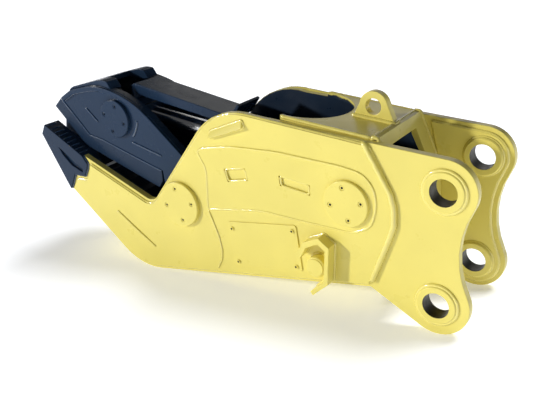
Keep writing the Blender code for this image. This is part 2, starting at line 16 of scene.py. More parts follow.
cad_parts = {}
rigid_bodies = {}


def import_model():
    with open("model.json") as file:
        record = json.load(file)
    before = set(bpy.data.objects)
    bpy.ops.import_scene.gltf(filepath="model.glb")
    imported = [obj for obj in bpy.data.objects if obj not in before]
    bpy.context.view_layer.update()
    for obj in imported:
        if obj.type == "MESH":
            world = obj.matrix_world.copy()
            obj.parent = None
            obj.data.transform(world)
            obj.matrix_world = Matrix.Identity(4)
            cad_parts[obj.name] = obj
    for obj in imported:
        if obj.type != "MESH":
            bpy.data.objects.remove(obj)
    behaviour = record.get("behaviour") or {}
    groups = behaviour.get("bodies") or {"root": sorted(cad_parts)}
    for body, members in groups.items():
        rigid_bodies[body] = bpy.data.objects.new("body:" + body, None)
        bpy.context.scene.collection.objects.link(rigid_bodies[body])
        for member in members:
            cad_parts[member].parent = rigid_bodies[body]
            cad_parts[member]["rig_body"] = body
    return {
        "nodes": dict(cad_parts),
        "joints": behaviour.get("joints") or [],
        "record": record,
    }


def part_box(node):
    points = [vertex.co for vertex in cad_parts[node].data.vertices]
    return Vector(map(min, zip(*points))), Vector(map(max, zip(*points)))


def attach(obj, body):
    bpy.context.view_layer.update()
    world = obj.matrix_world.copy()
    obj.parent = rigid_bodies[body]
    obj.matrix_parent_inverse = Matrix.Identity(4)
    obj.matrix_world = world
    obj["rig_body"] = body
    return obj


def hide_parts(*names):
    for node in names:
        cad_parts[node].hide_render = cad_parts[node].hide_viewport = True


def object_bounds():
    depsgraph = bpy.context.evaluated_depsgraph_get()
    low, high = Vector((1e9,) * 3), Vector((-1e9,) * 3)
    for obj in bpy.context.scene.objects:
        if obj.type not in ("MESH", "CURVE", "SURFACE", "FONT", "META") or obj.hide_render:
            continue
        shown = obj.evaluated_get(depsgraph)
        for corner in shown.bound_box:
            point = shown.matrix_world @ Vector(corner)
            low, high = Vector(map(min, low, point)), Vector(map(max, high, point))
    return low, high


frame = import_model()
CAD_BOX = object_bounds()
NODES = frame["nodes"]
JOINTS = {joint["name"]: joint for joint in frame["joints"]}
MM = 0.001
NEAR, FAR = -1, 1
SIDES = ((NEAR, "near"), (FAR, "far"))


# Datums from the frame ---------------------------------------------------------
def middle(node):
    low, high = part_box(node)
    return (low + high) / 2


UPPER_BORE = middle("ear_hub_upper_near")
LOWER_BORE = middle("ear_hub_lower_near")
PIVOT = Vector(JOINTS["jaw_hinge"]["pos_m"])
REAR_PIN = Vector(JOINTS["cylinder_hinge"]["pos_m"])
ROD_PIN = middle("rod_pin")
SKIN_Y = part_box("skin_plate_far")[1].y  # outer face of the skin plates
SIDE_OUT_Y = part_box("side_plate_far")[1].y
SIDE_IN_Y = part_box("side_plate_far")[0].y
LINER_IN_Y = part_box("ear_liner_far")[0].y
LINER_OUT_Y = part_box("ear_liner_far")[1].y
JAW_OUT_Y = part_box("jaw_plate_far")[1].y
JAW_IN_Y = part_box("jaw_plate_far")[0].y
FLOOR_Z = CAD_BOX[0].z


def at(x, z, y=0.0):
    """A point of the layout: millimetres behind the upper bore and up from the floor, y in metres."""
    return Vector((UPPER_BORE.x + x * MM, y, z * MM))


# Materials -----------------------------------------------------------------------
def new_material(name):
    material = bpy.data.materials.new(name)
    material.use_nodes = True
    tree = material.node_tree
    return material, tree, tree.nodes["Principled BSDF"]


def add(tree, kind, inputs=None, **settings):
    node = tree.nodes.new(kind)
    for key, value in settings.items():
        setattr(node, key, value)
    for key, value in (inputs or {}).items():
        if isinstance(value, bpy.types.NodeSocket):
            tree.links.new(value, node.inputs[key])
        else:
            node.inputs[key].default_value = value
    return node


def coordinates(tree):
    return add(tree, "ShaderNodeTexCoord").outputs["Object"]


def noise_at(tree, scale, detail, rough=0.5, distortion=0.0):
    inputs = {"Scale": scale, "Detail": detail, "Roughness": rough, "Distortion": distortion}
    inputs["Vector"] = coordinates(tree)
    return add(tree, "ShaderNodeTexNoise", inputs).outputs["Fac"]


def remap(tree, value, low, high, to_low=0.0, to_high=1.0):
    inputs = {"Value": value, "From Min": low, "From Max": high, "To Min": to_low, "To Max": to_high}
    return add(tree, "ShaderNodeMapRange", inputs).outputs["Result"]


def calc(tree, operation, a, b):
    return add(tree, "ShaderNodeMath", {0: a, 1: b}, operation=operation).outputs[0]


def mixed(tree, factor, a, b):
    node = add(tree, "ShaderNodeMix", {0: factor}, data_type="RGBA")
    for key, value in ((6, a), (7, b)):
        if isinstance(value, bpy.types.NodeSocket):
            tree.links.new(value, node.inputs[key])
        else:
            node.inputs[key].default_value = value
    return node.outputs[2]


def rgba(red, green, blue):
    return (red, green, blue, 1.0)


def shade(colour, factor):
    return rgba(*(min(1.0, c * factor) for c in colour[:3]))


def bumped(tree, shader, layers):
    """Stacks bumps: (height value, distance in metres, strength)."""
    last = None
    for height, distance, strength in layers:
        inputs = {"Height": height, "Distance": distance, "Strength": strength}
        if last:
            inputs["Normal"] = last
        last = add(tree, "ShaderNodeBump", inputs).outputs["Normal"]
    tree.links.new(last, shader.inputs["Normal"])


TOP_START = (-622, 806)  # where the straight back edge of the body starts, in the side view
TOP_TILT = -0.1501  # its slope

# Walls of the cylinder's bay in the side view: a point of each (x, z), the direction into the bay, and the
# two depths in mm between which the inner paint, darkened as painted shade, comes in.
BAY_WALLS = (
    ((-268, 0), (-1.0, 0.0), (0, 2)),  # rear bulkhead
    (TOP_START, (-0.148, -0.989), (8, 13)),  # top plate
    ((-1450, 20), (-0.128, 0.992), (6, 8)),  # belly plate
    ((-1592, 8), (0.687, 0.727), (6, 8)),  # chin plate
)
SPRAY_REACH = 4 * MM  # how far the edge of the inner paint wanders


def past_plane(tree, split, wall, spray):
    """0 to 1 as a point goes into the bay, past one of its walls."""
    (x, z), normal, (shallow, deep) = wall
    through = at(x, z)
    offset = through.x * normal[0] + through.z * normal[1]
    reach = calc(tree, "MULTIPLY", split["X"], normal[0])
    reach = calc(tree, "ADD", reach, calc(tree, "MULTIPLY", split["Z"], normal[1]))
    reach = calc(tree, "ADD", reach, spray)
    return remap(tree, reach, offset + shallow * MM, offset + deep * MM)


def inside_mask(tree):
    """1 on what faces the cylinder's bay, 0 outside it, with a sprayed edge; there the inner slate paint with
    its painted shade goes.
    """
    split = add(tree, "ShaderNodeSeparateXYZ", {0: coordinates(tree)}).outputs
    spray = remap(tree, noise_at(tree, 40.0, 4.0), 0.3, 0.7, -SPRAY_REACH, SPRAY_REACH)
    across = calc(tree, "ABSOLUTE", split["Y"], 0.0)
    mask = remap(tree, across, SIDE_IN_Y + 2 * MM, SIDE_IN_Y + 1 * MM)
    for wall in BAY_WALLS:
        mask = calc(tree, "MULTIPLY", mask, past_plane(tree, split, wall, spray))
    return mask


WORN_STEEL = rgba(0.10, 0.095, 0.085)  # under chipped paint


def paint(name, colour, inner=None, gloss=0.3, chips=0.5, coat=0.35, specular=0.5):
    """Sprayed machine paint with orange peel, uneven film, dust, a few chipped edges and a painted highlight
    along its rounded edges.

    inner is the colour inside the cylinder's bay, gloss the roughness, chips how much is chipped.
    """
    material, tree, shader = new_material(name)
    broad = noise_at(tree, 3.1, 2.0, 0.55)
    fine = noise_at(tree, 38.0, 5.0, 0.6)
    tone = mixed(tree, remap(tree, broad, 0.32, 0.68), shade(colour, 0.955), shade(colour, 1.035))
    tone = mixed(tree, remap(tree, fine, 0.58, 0.8, 0.0, 0.22), tone, shade(colour, 0.86))
    # Inside the bay the colour turns to the darker inner slate, which is partly painted shade.
    if inner:
        dark = mixed(tree, remap(tree, broad, 0.3, 0.7), shade(inner, 0.75), shade(inner, 1.2))
        tone = mixed(tree, inside_mask(tree), tone, dark)
    edge = add(tree, "ShaderNodeAttribute", attribute_name="edge").outputs["Fac"]
    flake = remap(tree, noise_at(tree, 70.0, 6.0, 0.7), 0.70 - 0.06 * chips, 0.73 - 0.06 * chips)
    worn = calc(tree, "MULTIPLY", edge, flake)
    # Painted highlight: the rounded edge faces are lightened a little, towards 1.12 of the colour.
    tone = mixed(tree, calc(tree, "MULTIPLY", edge, 0.35), tone, shade(colour, 1.12))
    tone = mixed(tree, worn, tone, WORN_STEEL)
    tree.links.new(tone, shader.inputs["Base Color"])
    roughness = remap(tree, noise_at(tree, 9.0, 4.0, 0.6), 0.3, 0.7, gloss - 0.07, gloss + 0.09)
    rougher = calc(tree, "MULTIPLY", worn, 0.3)
    tree.links.new(calc(tree, "ADD", rougher, roughness), shader.inputs["Roughness"])
    shader.inputs["Specular IOR Level"].default_value = specular
    shader.inputs["Coat Weight"].default_value = coat
    shader.inputs["Coat Roughness"].default_value = 0.12
    orange_peel = noise_at(tree, 330.0, 2.0, 0.5)
    sag = noise_at(tree, 14.0, 3.0, 0.55, distortion=0.4)
    bumped(tree, shader, [(sag, 1.2 * MM, 0.35), (orange_peel, 0.22 * MM, 0.35), (worn, -0.3 * MM, 0.5)])
    return material


def bare_metal(name, colour, roughness, grain=90.0, metallic=1.0, stain=0.25):
    """Machined or ground metal with fine turning marks and a little oil stain."""
    material, tree, shader = new_material(name)
    blot = remap(tree, noise_at(tree, 12.0, 5.0, 0.65), 0.45, 0.75)
    tone = mixed(tree, calc(tree, "MULTIPLY", blot, stain), colour, shade(colour, 0.45))
    tree.links.new(tone, shader.inputs["Base Color"])
    shader.inputs["Metallic"].default_value = metallic
    marks = noise_at(tree, grain, 4.0, 0.6)
    rough = remap(tree, marks, 0.3, 0.7, roughness * 0.75, roughness * 1.3)
    tree.links.new(rough, shader.inputs["Roughness"])
    bumped(tree, shader, [(marks, 0.15 * MM, 0.3)])
    return material


YELLOW = rgba(0.81, 0.70, 0.165)
SLATE = rgba(0.015, 0.034, 0.072)
# Slate inside the cylinder's bay: inner paint, darkened to 0.7 of the outer slate as painted shade of the
# deep bay.
BAY_SLATE_AND_SHADE = shade(SLATE, 0.7)

yellow_paint = paint("yellow_paint", YELLOW, BAY_SLATE_AND_SHADE, gloss=0.32, coat=0.12, specular=0.35)
yellow_outer = paint("yellow_outer", YELLOW, gloss=0.32, coat=0.12, specular=0.35)
# Weld paints: glossier, and lighter copies of the paint (1.04 and 1.5 times its colour) as a painted
# highlight on the beads.
yellow_weld_painted_highlight = paint("yellow_weld_painted_highlight", shade(YELLOW, 1.04), BAY_SLATE_AND_SHADE, gloss=0.17, coat=0.9, specular=0.6)
slate_weld_painted_highlight = paint("slate_weld_painted_highlight", shade(SLATE, 1.5), gloss=0.17, chips=1.2, coat=0.7, specular=0.6)
slate_paint = paint("slate_paint", SLATE, gloss=0.24, chips=0.8, coat=0.03, specular=0.13)
tip_paint = paint("tip_steel", shade(SLATE, 0.85), gloss=0.3, chips=1.6, coat=0.03, specular=0.15)
chrome = bare_metal("chrome", rgba(0.90, 0.91, 0.93), 0.19, grain=140.0, stain=0.05)
bronze = bare_metal("bronze", rgba(0.62, 0.40, 0.16), 0.34)
pin_steel = bare_metal("pin_steel", rgba(0.34, 0.34, 0.35), 0.33)
bore_steel = bare_metal("bore_steel", rgba(0.055, 0.052, 0.042), 0.45, grain=60.0, metallic=0.6, stain=0.6)
# Near-black for the screws' sockets: painted shade in the socket.
socket_painted_shade = bare_metal("socket_shade_black", rgba(0.015, 0.016, 0.018), 0.6, metallic=0.0)

SLOT_MATERIAL = {
    "yellow_paint": yellow_paint,
    "slate_paint": slate_paint,
    "tip_steel": tip_paint,
    "chrome": chrome,
    "bronze": bronze,
    "pin_steel": pin_steel,
}
WELD_MATERIAL = {"yellow_paint": yellow_weld_painted_highlight, "slate_paint": slate_weld_painted_highlight, "tip_steel": slate_weld_painted_highlight}
NODE_SLOT = {part["node"]: part["material_slot"] for part in frame["record"]["subparts"]}


# Mesh helpers ---------------------------------------------------------------------
MERGE_REACH = 0.01 * MM
LEVEL_REACH = 0.05 * MM  # a point this close to a plane lies in it
FLAT_DEG = 0.5  # faces that meet at less than this are one flat face
SHARP_DEG = 28  # edges that turn more than this are rounded
CORNER_DEG = 30  # edges that turn more than this belong to an outline
PLATE_SMOOTH_DEG = 50  # up to this turn a plate's faces shade as one
TURNED_SMOOTH_DEG = 35
BEAD_SMOOTH_DEG = 80


def body_of(node):
    return NODES[node]["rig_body"]


def clean_copy(node):
    """The node's mesh with its seams merged and its flat faces joined up again."""
    bm = bmesh.new()
    bm.from_mesh(NODES[node].data)
    bmesh.ops.remove_doubles(bm, verts=bm.verts, dist=MERGE_REACH)
    bmesh.ops.dissolve_limit(
        bm, angle_limit=math.radians(FLAT_DEG), verts=bm.verts, edges=bm.edges, delimit={"NORMAL"}
    )
    return bm


def finished(name, bm, materials, body, smooth_deg):
    """Makes the piece, gives it its materials and its place in the frame."""
    mesh = bpy.data.meshes.new(name)
    bm.to_mesh(mesh)
    bm.free()
    obj = bpy.data.objects.new(name, mesh)
    bpy.context.scene.collection.objects.link(obj)
    for material in materials:
        mesh.materials.append(material)
    mesh.shade_smooth()
    mesh.set_sharp_from_angle(angle=math.radians(smooth_deg))
    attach(obj, body)
    return obj


def round_edges(bm, width):
    """Rounds the sharp edges, and marks the new faces in the edge layer."""
    layer = bm.faces.layers.float.new("edge")
    sharp = [
        e
        for e in bm.edges
        if len(e.link_faces) == 2 and e.calc_face_angle(0.0) > math.radians(SHARP_DEG)
    ]
    made = bmesh.ops.bevel(
        bm,
        geom=sharp,
        offset=width,
        offset_type="OFFSET",
        segments=3,
        profile=0.5,
        affect="EDGES",
        clamp_overlap=False,
        loop_slide=True,
    )
    for face in made["faces"]:
        face[layer] = 1.0


def rounded_node(node, width, pick_material=None, second=()):
    """A rounded stand-in for a CAD node.  pick_material says which material each face has."""
    bm = clean_copy(node)
    if width:
        round_edges(bm, width)
    else:
        bm.faces.layers.float.new("edge")
    for face in bm.faces:
        face.material_index = pick_material(face) if pick_material else 0
    slot = NODE_SLOT[node]
    obj = finished(f"{node}_shell", bm, [SLOT_MATERIAL[slot], *second], body_of(node), PLATE_SMOOTH_DEG)
    weigh_normals(obj)
    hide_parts(node)


def weigh_normals(obj):
    """Keeps the large flat faces flat next to their rounded edges."""
    weighted = obj.modifiers.new("Weighted", "WEIGHTED_NORMAL")
    weighted.keep_sharp = True
    weighted.weight = 100


def outer_loop(node, y):
    """The longest loop of the node's sharp edges in the plane at y."""
    bm = clean_copy(node)
    edges = []
    for edge in bm.edges:
        if all(abs(v.co.y - y) < LEVEL_REACH for v in edge.verts):
            if len(edge.link_faces) == 2 and edge.calc_face_angle(0.0) > math.radians(CORNER_DEG):
                edges.append(edge)
    loops = []
    while edges:
        edge = edges.pop()
        start, here = edge.verts
        points = [start.co.copy(), here.co.copy()]
        while here is not start:
            onward = next((e for e in here.link_edges if e in edges), None)
            if onward is None:
                break
            edges.remove(onward)
            here = onward.other_vert(here)
            points.append(here.co.copy())
        if here is start:
            points.pop()
        loops.append(points)
    bm.free()
    return max(loops, key=path_length)


def path_length(points):
    return sum((a - b).length for a, b in zip(points, points[1:]))


def resampled(points, step, closed):
    """Points at even steps along a path, with its corners eased."""
    path = points + [points[0]] if closed else list(points)
    total = path_length(path)
    count = max(4, round(total / step))
    out, index, done = [], 0, 0.0
    for i in range(count if closed else count + 1):
        target = total * i / count
        while index < len(path) - 2 and done + (path[index + 1] - path[index]).length < target:
            done += (path[index + 1] - path[index]).length
            index += 1
        span = (path[index + 1] - path[index]).length or 1e-9
        out.append(path[index].lerp(path[index + 1], min(1.0, (target - done) / span)))
    for _ in range(2):
        eased = [p.copy() for p in out]
        for i in range(len(out)):
            if closed or 0 < i < len(out) - 1:
                eased[i] = (out[i - 1] + out[i] * 2 + out[(i + 1) % len(out)]) / 4
        out = eased
    return out


BEAD_STEP = 5 * MM
BEAD_SIDES = 8
BEAD_RIPPLE = 0.10  # share of the radius
RIPPLES_PER_M = 55


def sweep_bead(bm, points, normal, radius, closed):
    """A weld bead along a path: a tube with ripples, whose ends taper."""
    path = resampled(points, BEAD_STEP, closed)
    count = len(path)
    rings = []
    for i, here in enumerate(path):
        before = path[i - 1] if closed or i else here
        after = path[(i + 1) % count] if closed or i < count - 1 else here
        across = (after - before).normalized().cross(normal).normalized()
        wobble = noise.noise(here * RIPPLES_PER_M) * BEAD_RIPPLE
        wobble += BEAD_RIPPLE * 0.8 if i % 2 else -BEAD_RIPPLE * 0.4
        size = radius * (1 + wobble)
        if not closed:
            size *= min(1.0, 0.45 + 0.28 * min(i, count - 1 - i))
        ring = []
        for k in range(BEAD_SIDES):
            a = 2 * math.pi * (k + 0.5) / BEAD_SIDES
            ring.append(bm.verts.new(here + across * size * math.cos(a) + normal * size * math.sin(a)))
        rings.append(ring)
    last = count if closed else count - 1
    for i in range(last):
        ring, after = rings[i], rings[(i + 1) % count]
        for k in range(BEAD_SIDES):
            m = (k + 1) % BEAD_SIDES
            bm.faces.new((ring[k], ring[m], after[m], after[k]))
    if not closed:
        bm.faces.new(rings[0][::-1])
        bm.faces.new(rings[-1])


def welds(name, body, slot, runs):
    """One piece made of several beads: (points, normal, radius, closed)."""
    bm = bmesh.new()
    for points, normal, radius, closed in runs:
        sweep_bead(bm, points, Vector(normal), radius, closed)
    bmesh.ops.recalc_face_normals(bm, faces=bm.faces)
    finished(name, bm, [WELD_MATERIAL[slot]], body, BEAD_SMOOTH_DEG)


# Frame plates -----------------------------------------------------------------------
# Rounding in millimetres; a star stands for near and far.
ROUNDING = {
    "side_plate_*": 3.0,
    "skin_plate_*": 2.2,
    "ear_liner_*": 2.0,
    "top_plate": 0.0,
    "rear_bulkhead": 2.0,
    "lower_bulkhead": 2.0,
    "belly_plate": 2.0,
    "chin_plate": 2.0,
    "lifting_lug": 3.0,
    "lower_jaw_tip_*": 3.5,
    "lower_jaw_crossbar": 4.0,
    "crushing_plate": 4.0,
    "port_guard_*": 2.0,
    "service_cover_*": 1.5,
    "stop_block_*": 3.0,
    "jaw_plate_*": 3.0,
    "jaw_blade_*": 3.0,
    "jaw_front_plate": 3.0,
    "jaw_tooth": 5.0,
    "jaw_web": 3.0,
    "rod_guard": 2.0,
    "rod_eye": 3.0,
    "cylinder_eye": 3.0,
    "pivot_pin_cap_*": 1.2,
    "rear_pin_cap_*": 1.2,
    "rod_pin_cap_*": 1.2,
    "ear_hub_upper_*": 1.2,
    "ear_hub_lower_*": 1.2,
    "hose_port_*": 1.0,
    "cylinder_gland": 1.2,
    "cylinder_barrel": 2.5,
}
BORE_REACH = 53.2 * MM  # just past the ears' bores


def bore_faces(centre, reach):
    """Second material on the faces inside a bore."""
    def pick(face):
        return int(all(math.hypot(v.co.x - centre.x, v.co.z - centre.z) < reach for v in face.verts))

    return pick


def outer_edges(face):
    """Second material on the long edges that meet the side plates."""
    return int(abs(face.calc_center_median().y) > SIDE_IN_Y - 1 * MM)


def under_side(face):
    """Second material on what faces the ground or the front."""
    return int(face.normal.x * 0.6 + face.normal.z * 0.8 < 0.05)


SECOND_MATERIAL = {
    "ear_hub_upper_*": (bore_faces(UPPER_BORE, BORE_REACH), [bore_steel]),
    "ear_hub_lower_*": (bore_faces(LOWER_BORE, BORE_REACH), [bore_steel]),
    "top_plate": (outer_edges, [yellow_outer]),
    "belly_plate": (under_side, [yellow_outer]),
    "chin_plate": (under_side, [yellow_outer]),
}


def build_plates():
    rounded = set()
    for pattern, width in ROUNDING.items():
        words = [word for _, word in SIDES] if "*" in pattern else [""]
        for word in words:
            node = pattern.replace("*", word)
            rounded_node(node, width * MM, *SECOND_MATERIAL.get(pattern, ()))
            rounded.add(node)
    for node, obj in NODES.items():
        if node not in rounded:
            obj.data.materials[0] = SLOT_MATERIAL[NODE_SLOT[node]]


build_plates()


# Shapes for the small pieces ------------------------------------------------------------
def softened(corners, cut, steps=5):
    """A closed outline whose corners become short curves that start a cut away from them."""
    out = []
    for i, here in enumerate(corners):
        back = corners[i - 1] - here
        ahead = corners[(i + 1) % len(corners)] - here
        start = here + back.normalized() * min(cut, back.length * 0.45)
        end = here + ahead.normalized() * min(cut, ahead.length * 0.45)
        for k in range(steps):
            t = k / (steps - 1)
            out.append(start * (1 - t) ** 2 + here * (2 * t * (1 - t)) + end * t * t)
    return out


RING_COUNT = 60


def ring_points(centre, radius, y):
    turn = 2 * math.pi / RING_COUNT
    return [
        Vector((centre.x + radius * math.cos(turn * i), y, centre.z + radius * math.sin(turn * i)))
        for i in range(RING_COUNT)
    ]


def add_plate(bm, loops, y_low, y_high):
    """A flat plate between two levels: the outline first, then its holes."""
    low, high = [], []
    for loop in loops:
        ring_low = [bm.verts.new((p.x, y_low, p.z)) for p in loop]
        ring_high = [bm.verts.new((p.x, y_high, p.z)) for p in loop]
        low += ring_low
        high += ring_high
        for i in range(len(loop)):
            j = (i + 1) % len(loop)
            bm.faces.new((ring_low[i], ring_low[j], ring_high[j], ring_high[i]))
    flat = [[Vector((p.x, p.z, 0)) for p in loop] for loop in loops]
    for a, b, c in tessellate_polygon(flat):
        bm.faces.new((low[a], low[b], low[c]))
        bm.faces.new((high[a], high[c], high[b]))


def plate_piece(name, body, slot, loops, side, foot, top, width):
    """A rounded flat piece on one side, between two distances from the middle plane."""
    bm = bmesh.new()
    add_plate(bm, loops, min(side * foot, side * top), max(side * foot, side * top))
    bmesh.ops.recalc_face_normals(bm, faces=bm.faces)
    bmesh.ops.dissolve_limit(bm, angle_limit=math.radians(FLAT_DEG), verts=bm.verts, edges=bm.edges)
    round_edges(bm, width)
    obj = finished(name, bm, [SLOT_MATERIAL[slot]], body, PLATE_SMOOTH_DEG)
    weigh_normals(obj)


def add_turned(bm, centre, side, profile, segments):
    """A turned shape on a side face: (radius, |y|) from the axis out and back to it.

    A negative radius stands for a hexagon of that reach.
    """
    rings = []
    for radius, level in profile:
        if radius == 0.0:
            rings.append([bm.verts.new((centre.x, side * level, centre.z))])
            continue
        ring = []
        for i in range(segments):
            a = 2 * math.pi * i / segments
            reach = radius if radius > 0 else -radius * hexagon(a)
            x, z = centre.x + reach * math.cos(a), centre.z + reach * math.sin(a)
            ring.append(bm.verts.new((x, side * level, z)))
        rings.append(ring)
    for ring, after in zip(rings, rings[1:]):
        for i in range(segments):
            j = (i + 1) % segments
            corners = [ring[i % len(ring)], ring[j % len(ring)], after[j % len(after)], after[i % len(after)]]
            bm.faces.new(list(dict.fromkeys(corners)))


def hexagon(angle):
    """Reach of a hexagon's edge at an angle, for corners at 1."""
    return math.cos(math.pi / 6) / math.cos(angle % (math.pi / 3) - math.pi / 6)


SCREW_SEGMENTS = 24


def add_screw(bm, centre, side, level, radius, height):
    """Head of a socket screw; its hexagon socket is near-black as painted shade."""
    ease = radius * 0.14
    top = level + height
    socket = radius * 0.52
    profile = [
        (0.0, level), (radius, level), (radius, top - ease), (radius - ease * 0.3, top - ease * 0.3),
        (radius - ease, top), (-radius * 0.56, top), (-socket, top - ease * 0.5),
        (-socket, top - height * 0.7), (0.0, top - height * 0.8),
    ]
    first = len(bm.faces)
    add_turned(bm, centre, side, profile, SCREW_SEGMENTS)
    bm.faces.ensure_lookup_table()
    for face in bm.faces[first + SCREW_SEGMENTS:]:
        place = face.calc_center_median()
        if math.hypot(place.x - centre.x, place.z - centre.z) < radius * 0.535:
            face.material_index = 1


def screws(name, body, slot, places, side, level, radius, height):
    bm = bmesh.new()
    for centre in places:
        add_screw(bm, centre, side, level, radius, height)
    bmesh.ops.recalc_face_normals(bm, faces=bm.faces)
    finished(name, bm, [SLOT_MATERIAL[slot], socket_painted_shade], body, TURNED_SMOOTH_DEG)


def bolt_places(centre, radius, phase_deg):
    """Four places, a quarter turn apart, on a circle round the centre."""
    turns = [math.radians(phase_deg + 90 * i) for i in range(4)]
    return [centre + Vector((radius * math.cos(a), 0, radius * math.sin(a))) for a in turns]


# Welds -----------------------------------------------------------------------------------
SKIN_BEAD = 7.5 * MM  # round the skin plates
PLATE_BEAD = 8 * MM  # round the hubs and the cross members
SMALL_BEAD = 5.5 * MM  # round the small plates
FINE_BEAD = 5 * MM  # drawn as a line on a flat face
WIDE_BEAD = 13 * MM  # behind the skin plates
SEAM_BEAD = 7 * MM  # across the lower jaw
LUG_BEAD = 9 * MM
TIP_BEAD = 6 * MM
FACING_BEAD = 4.5 * MM  # hard facing across the lower tips
FACING_COUNT = 9
FACING_LOW, FACING_HIGH = (-1889, 558), (-2095, 682)  # ends of the tips' upper edge, in the side view
FACING_UP = (0.51, 0, 0.86)  # square to that edge
PORT_RING_R = 47 * MM
HUB_R = (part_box("ear_hub_upper_far")[1].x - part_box("ear_hub_upper_far")[0].x) / 2
PORT_CENTRE = middle("hose_port_far")

# Seams on the side faces, in the side view.
REAR_SEAM = (
    (-310, 750), (-270, 676), (-208, 556), (-196, 500), (-198, 425), (-230, 345), (-304, 172),
)
FRONT_SEAM = ((-1683, 280), (-1571, 197), (-1460, 122))
RIB_SEAM = ((-1093, 370), (-1072, 310), (-1052, 245), (-1043, 180), (-1053, 130), (-1081, 84))
TIP_SEAM = (
    (-2001, 356), (-1984, 382), (-1950, 439), (-1879, 435), (-1851, 477), (-1841, 505), (-1868, 545),
)
JAW_SEAM = (
    (-2030, 807), (-1960, 730), (-1872, 631), (-1841, 624), (-1781, 611), (-1600, 549), (-1417, 489),
)
JAW_DASHES = (((-1865, 772), (-1793, 703)), ((-1584, 618), (-1404, 564)))
JAW_PAD_SEAM = ((-1527, 725), (-1530, 707), (-1538, 690), (-1553, 664), (-1572, 643))
CREST_FRONT, CREST_BACK = (-2032, 812), (-1125, 452)  # the crest lies above the line between them
FRONT_CREST_X = -1800  # the inner bead is in front of this


def top_line(x):
    """Height of the straight back edge at x of the layout, both in millimetres."""
    return TOP_START[1] + TOP_TILT * (x - TOP_START[0])


def along(seam, y):
    """The points of a seam of the side view, at y."""
    return [at(x, z, y) for x, z in seam]


def weld_frame_side(side, word):
    """Beads on one side of the body: round its plates, hubs and port, and the seams of the skin."""
    face = (0, side, 0)
    skin = outer_loop(f"skin_plate_{word}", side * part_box("skin_plate_far")[0].y)
    liner = outer_loop(f"ear_liner_{word}", side * LINER_OUT_Y)
    guard = outer_loop(f"port_guard_{word}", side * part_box("port_guard_far")[0].y)
    block = outer_loop(f"stop_block_{word}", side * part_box("stop_block_far")[0].y)
    runs = [
        (skin, face, SKIN_BEAD, True),
        (along(REAR_SEAM, side * (SKIN_Y - 7 * MM)), face, WIDE_BEAD, False),
    ]
    for bore in (UPPER_BORE, LOWER_BORE):
        runs.append((ring_points(bore, HUB_R + 2 * MM, side * SIDE_OUT_Y), face, PLATE_BEAD, True))
        runs.append((ring_points(bore, HUB_R + 1 * MM, side * LINER_IN_Y), face, SMALL_BEAD, True))
    runs += [
        (liner, face, PLATE_BEAD, True),
        (ring_points(PORT_CENTRE, PORT_RING_R, side * SKIN_Y), face, SMALL_BEAD, True),
        (guard, face, SMALL_BEAD, True),
        (block, face, SMALL_BEAD, True),
        (along(FRONT_SEAM, side * (SKIN_Y - 2 * MM)), face, SEAM_BEAD, False),
        (along(RIB_SEAM, side * SKIN_Y), face, FINE_BEAD, False),
    ]
    welds(f"side_welds_{word}", "frame", "yellow_paint", runs)


def weld_cross_members():
    """Beads where the plates between the two sides meet them, and round the lifting lug."""
    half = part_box("top_plate")[1].y
    runs = []
    for node in ("rear_bulkhead", "lower_bulkhead", "belly_plate", "chin_plate"):
        for side in (NEAR, FAR):
            runs.append((outer_loop(node, side * half), (0, side, 0), PLATE_BEAD, True))
    for side in (NEAR, FAR):
        joint = [at(x, top_line(x) - 5, side * half) for x in (-690, -590, -470, -400, -330, -292)]
        runs.append((joint, (0, 0, 1), PLATE_BEAD, False))
    corner = -289.5  # back end of the top plate
    joint = [at(corner, top_line(corner), y) for y in (-half, 0, half)]
    runs.append((joint, (0, 0, 1), FINE_BEAD, False))
    low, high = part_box("lifting_lug")
    start, end = (low.x - UPPER_BORE.x) / MM, (high.x - UPPER_BORE.x) / MM
    out = high.y + 3 * MM
    corners = ((start, -out), (end, -out), (end, out), (start, out))
    foot = [at(x, top_line(x) + 2, y) for x, y in corners]
    runs.append((foot, (0, 0, 1), LUG_BEAD, True))
    welds("cross_welds", "frame", "yellow_paint", runs)


def weld_tips(side, word):
    """Hard facing across the lower tip's upper edge, and the seam where the tip meets the body."""
    (low_x, low_z), (high_x, high_z) = FACING_LOW, FACING_HIGH
    inner, outer = JAW_OUT_Y + 12 * MM, SKIN_Y - 6 * MM
    runs = []
    for i in range(FACING_COUNT):
        x = low_x + (high_x - low_x) * i / (FACING_COUNT - 1)
        z = low_z + (high_z - low_z) * i / (FACING_COUNT - 1)
        line = [at(x, z - 1, side * y) for y in (inner, (inner + outer) / 2, outer)]
        runs.append((line, FACING_UP, FACING_BEAD, False))
    runs.append((along(TIP_SEAM, side * SIDE_OUT_Y), (0, side, 0), TIP_BEAD, False))
    welds(f"tip_welds_{word}", "frame", "tip_steel", runs)


def weld_jaw_side(side, word):
    """Beads on the outside of one jaw plate, and inside its front crest."""
    face = (0, side, 0)
    level = side * JAW_OUT_Y
    runs = [(along(JAW_SEAM, level), face, FINE_BEAD, False)]
    for (x_from, z_from), (x_to, z_to) in JAW_DASHES:
        dash = ((x_from, z_from), ((x_from + x_to) / 2, (z_from + z_to) / 2), (x_to, z_to))
        runs.append((along(dash, level), face, SMALL_BEAD, False))
    runs.append((along(JAW_PAD_SEAM, level), face, SMALL_BEAD, False))
    crest = jaw_crest(side, word, side * JAW_IN_Y)
    front = [p for p in crest if p.x < at(FRONT_CREST_X, 0).x]
    runs.append((front, (0, 0, 1), SMALL_BEAD, False))
    welds(f"jaw_welds_{word}", "jaw", "slate_paint", runs)


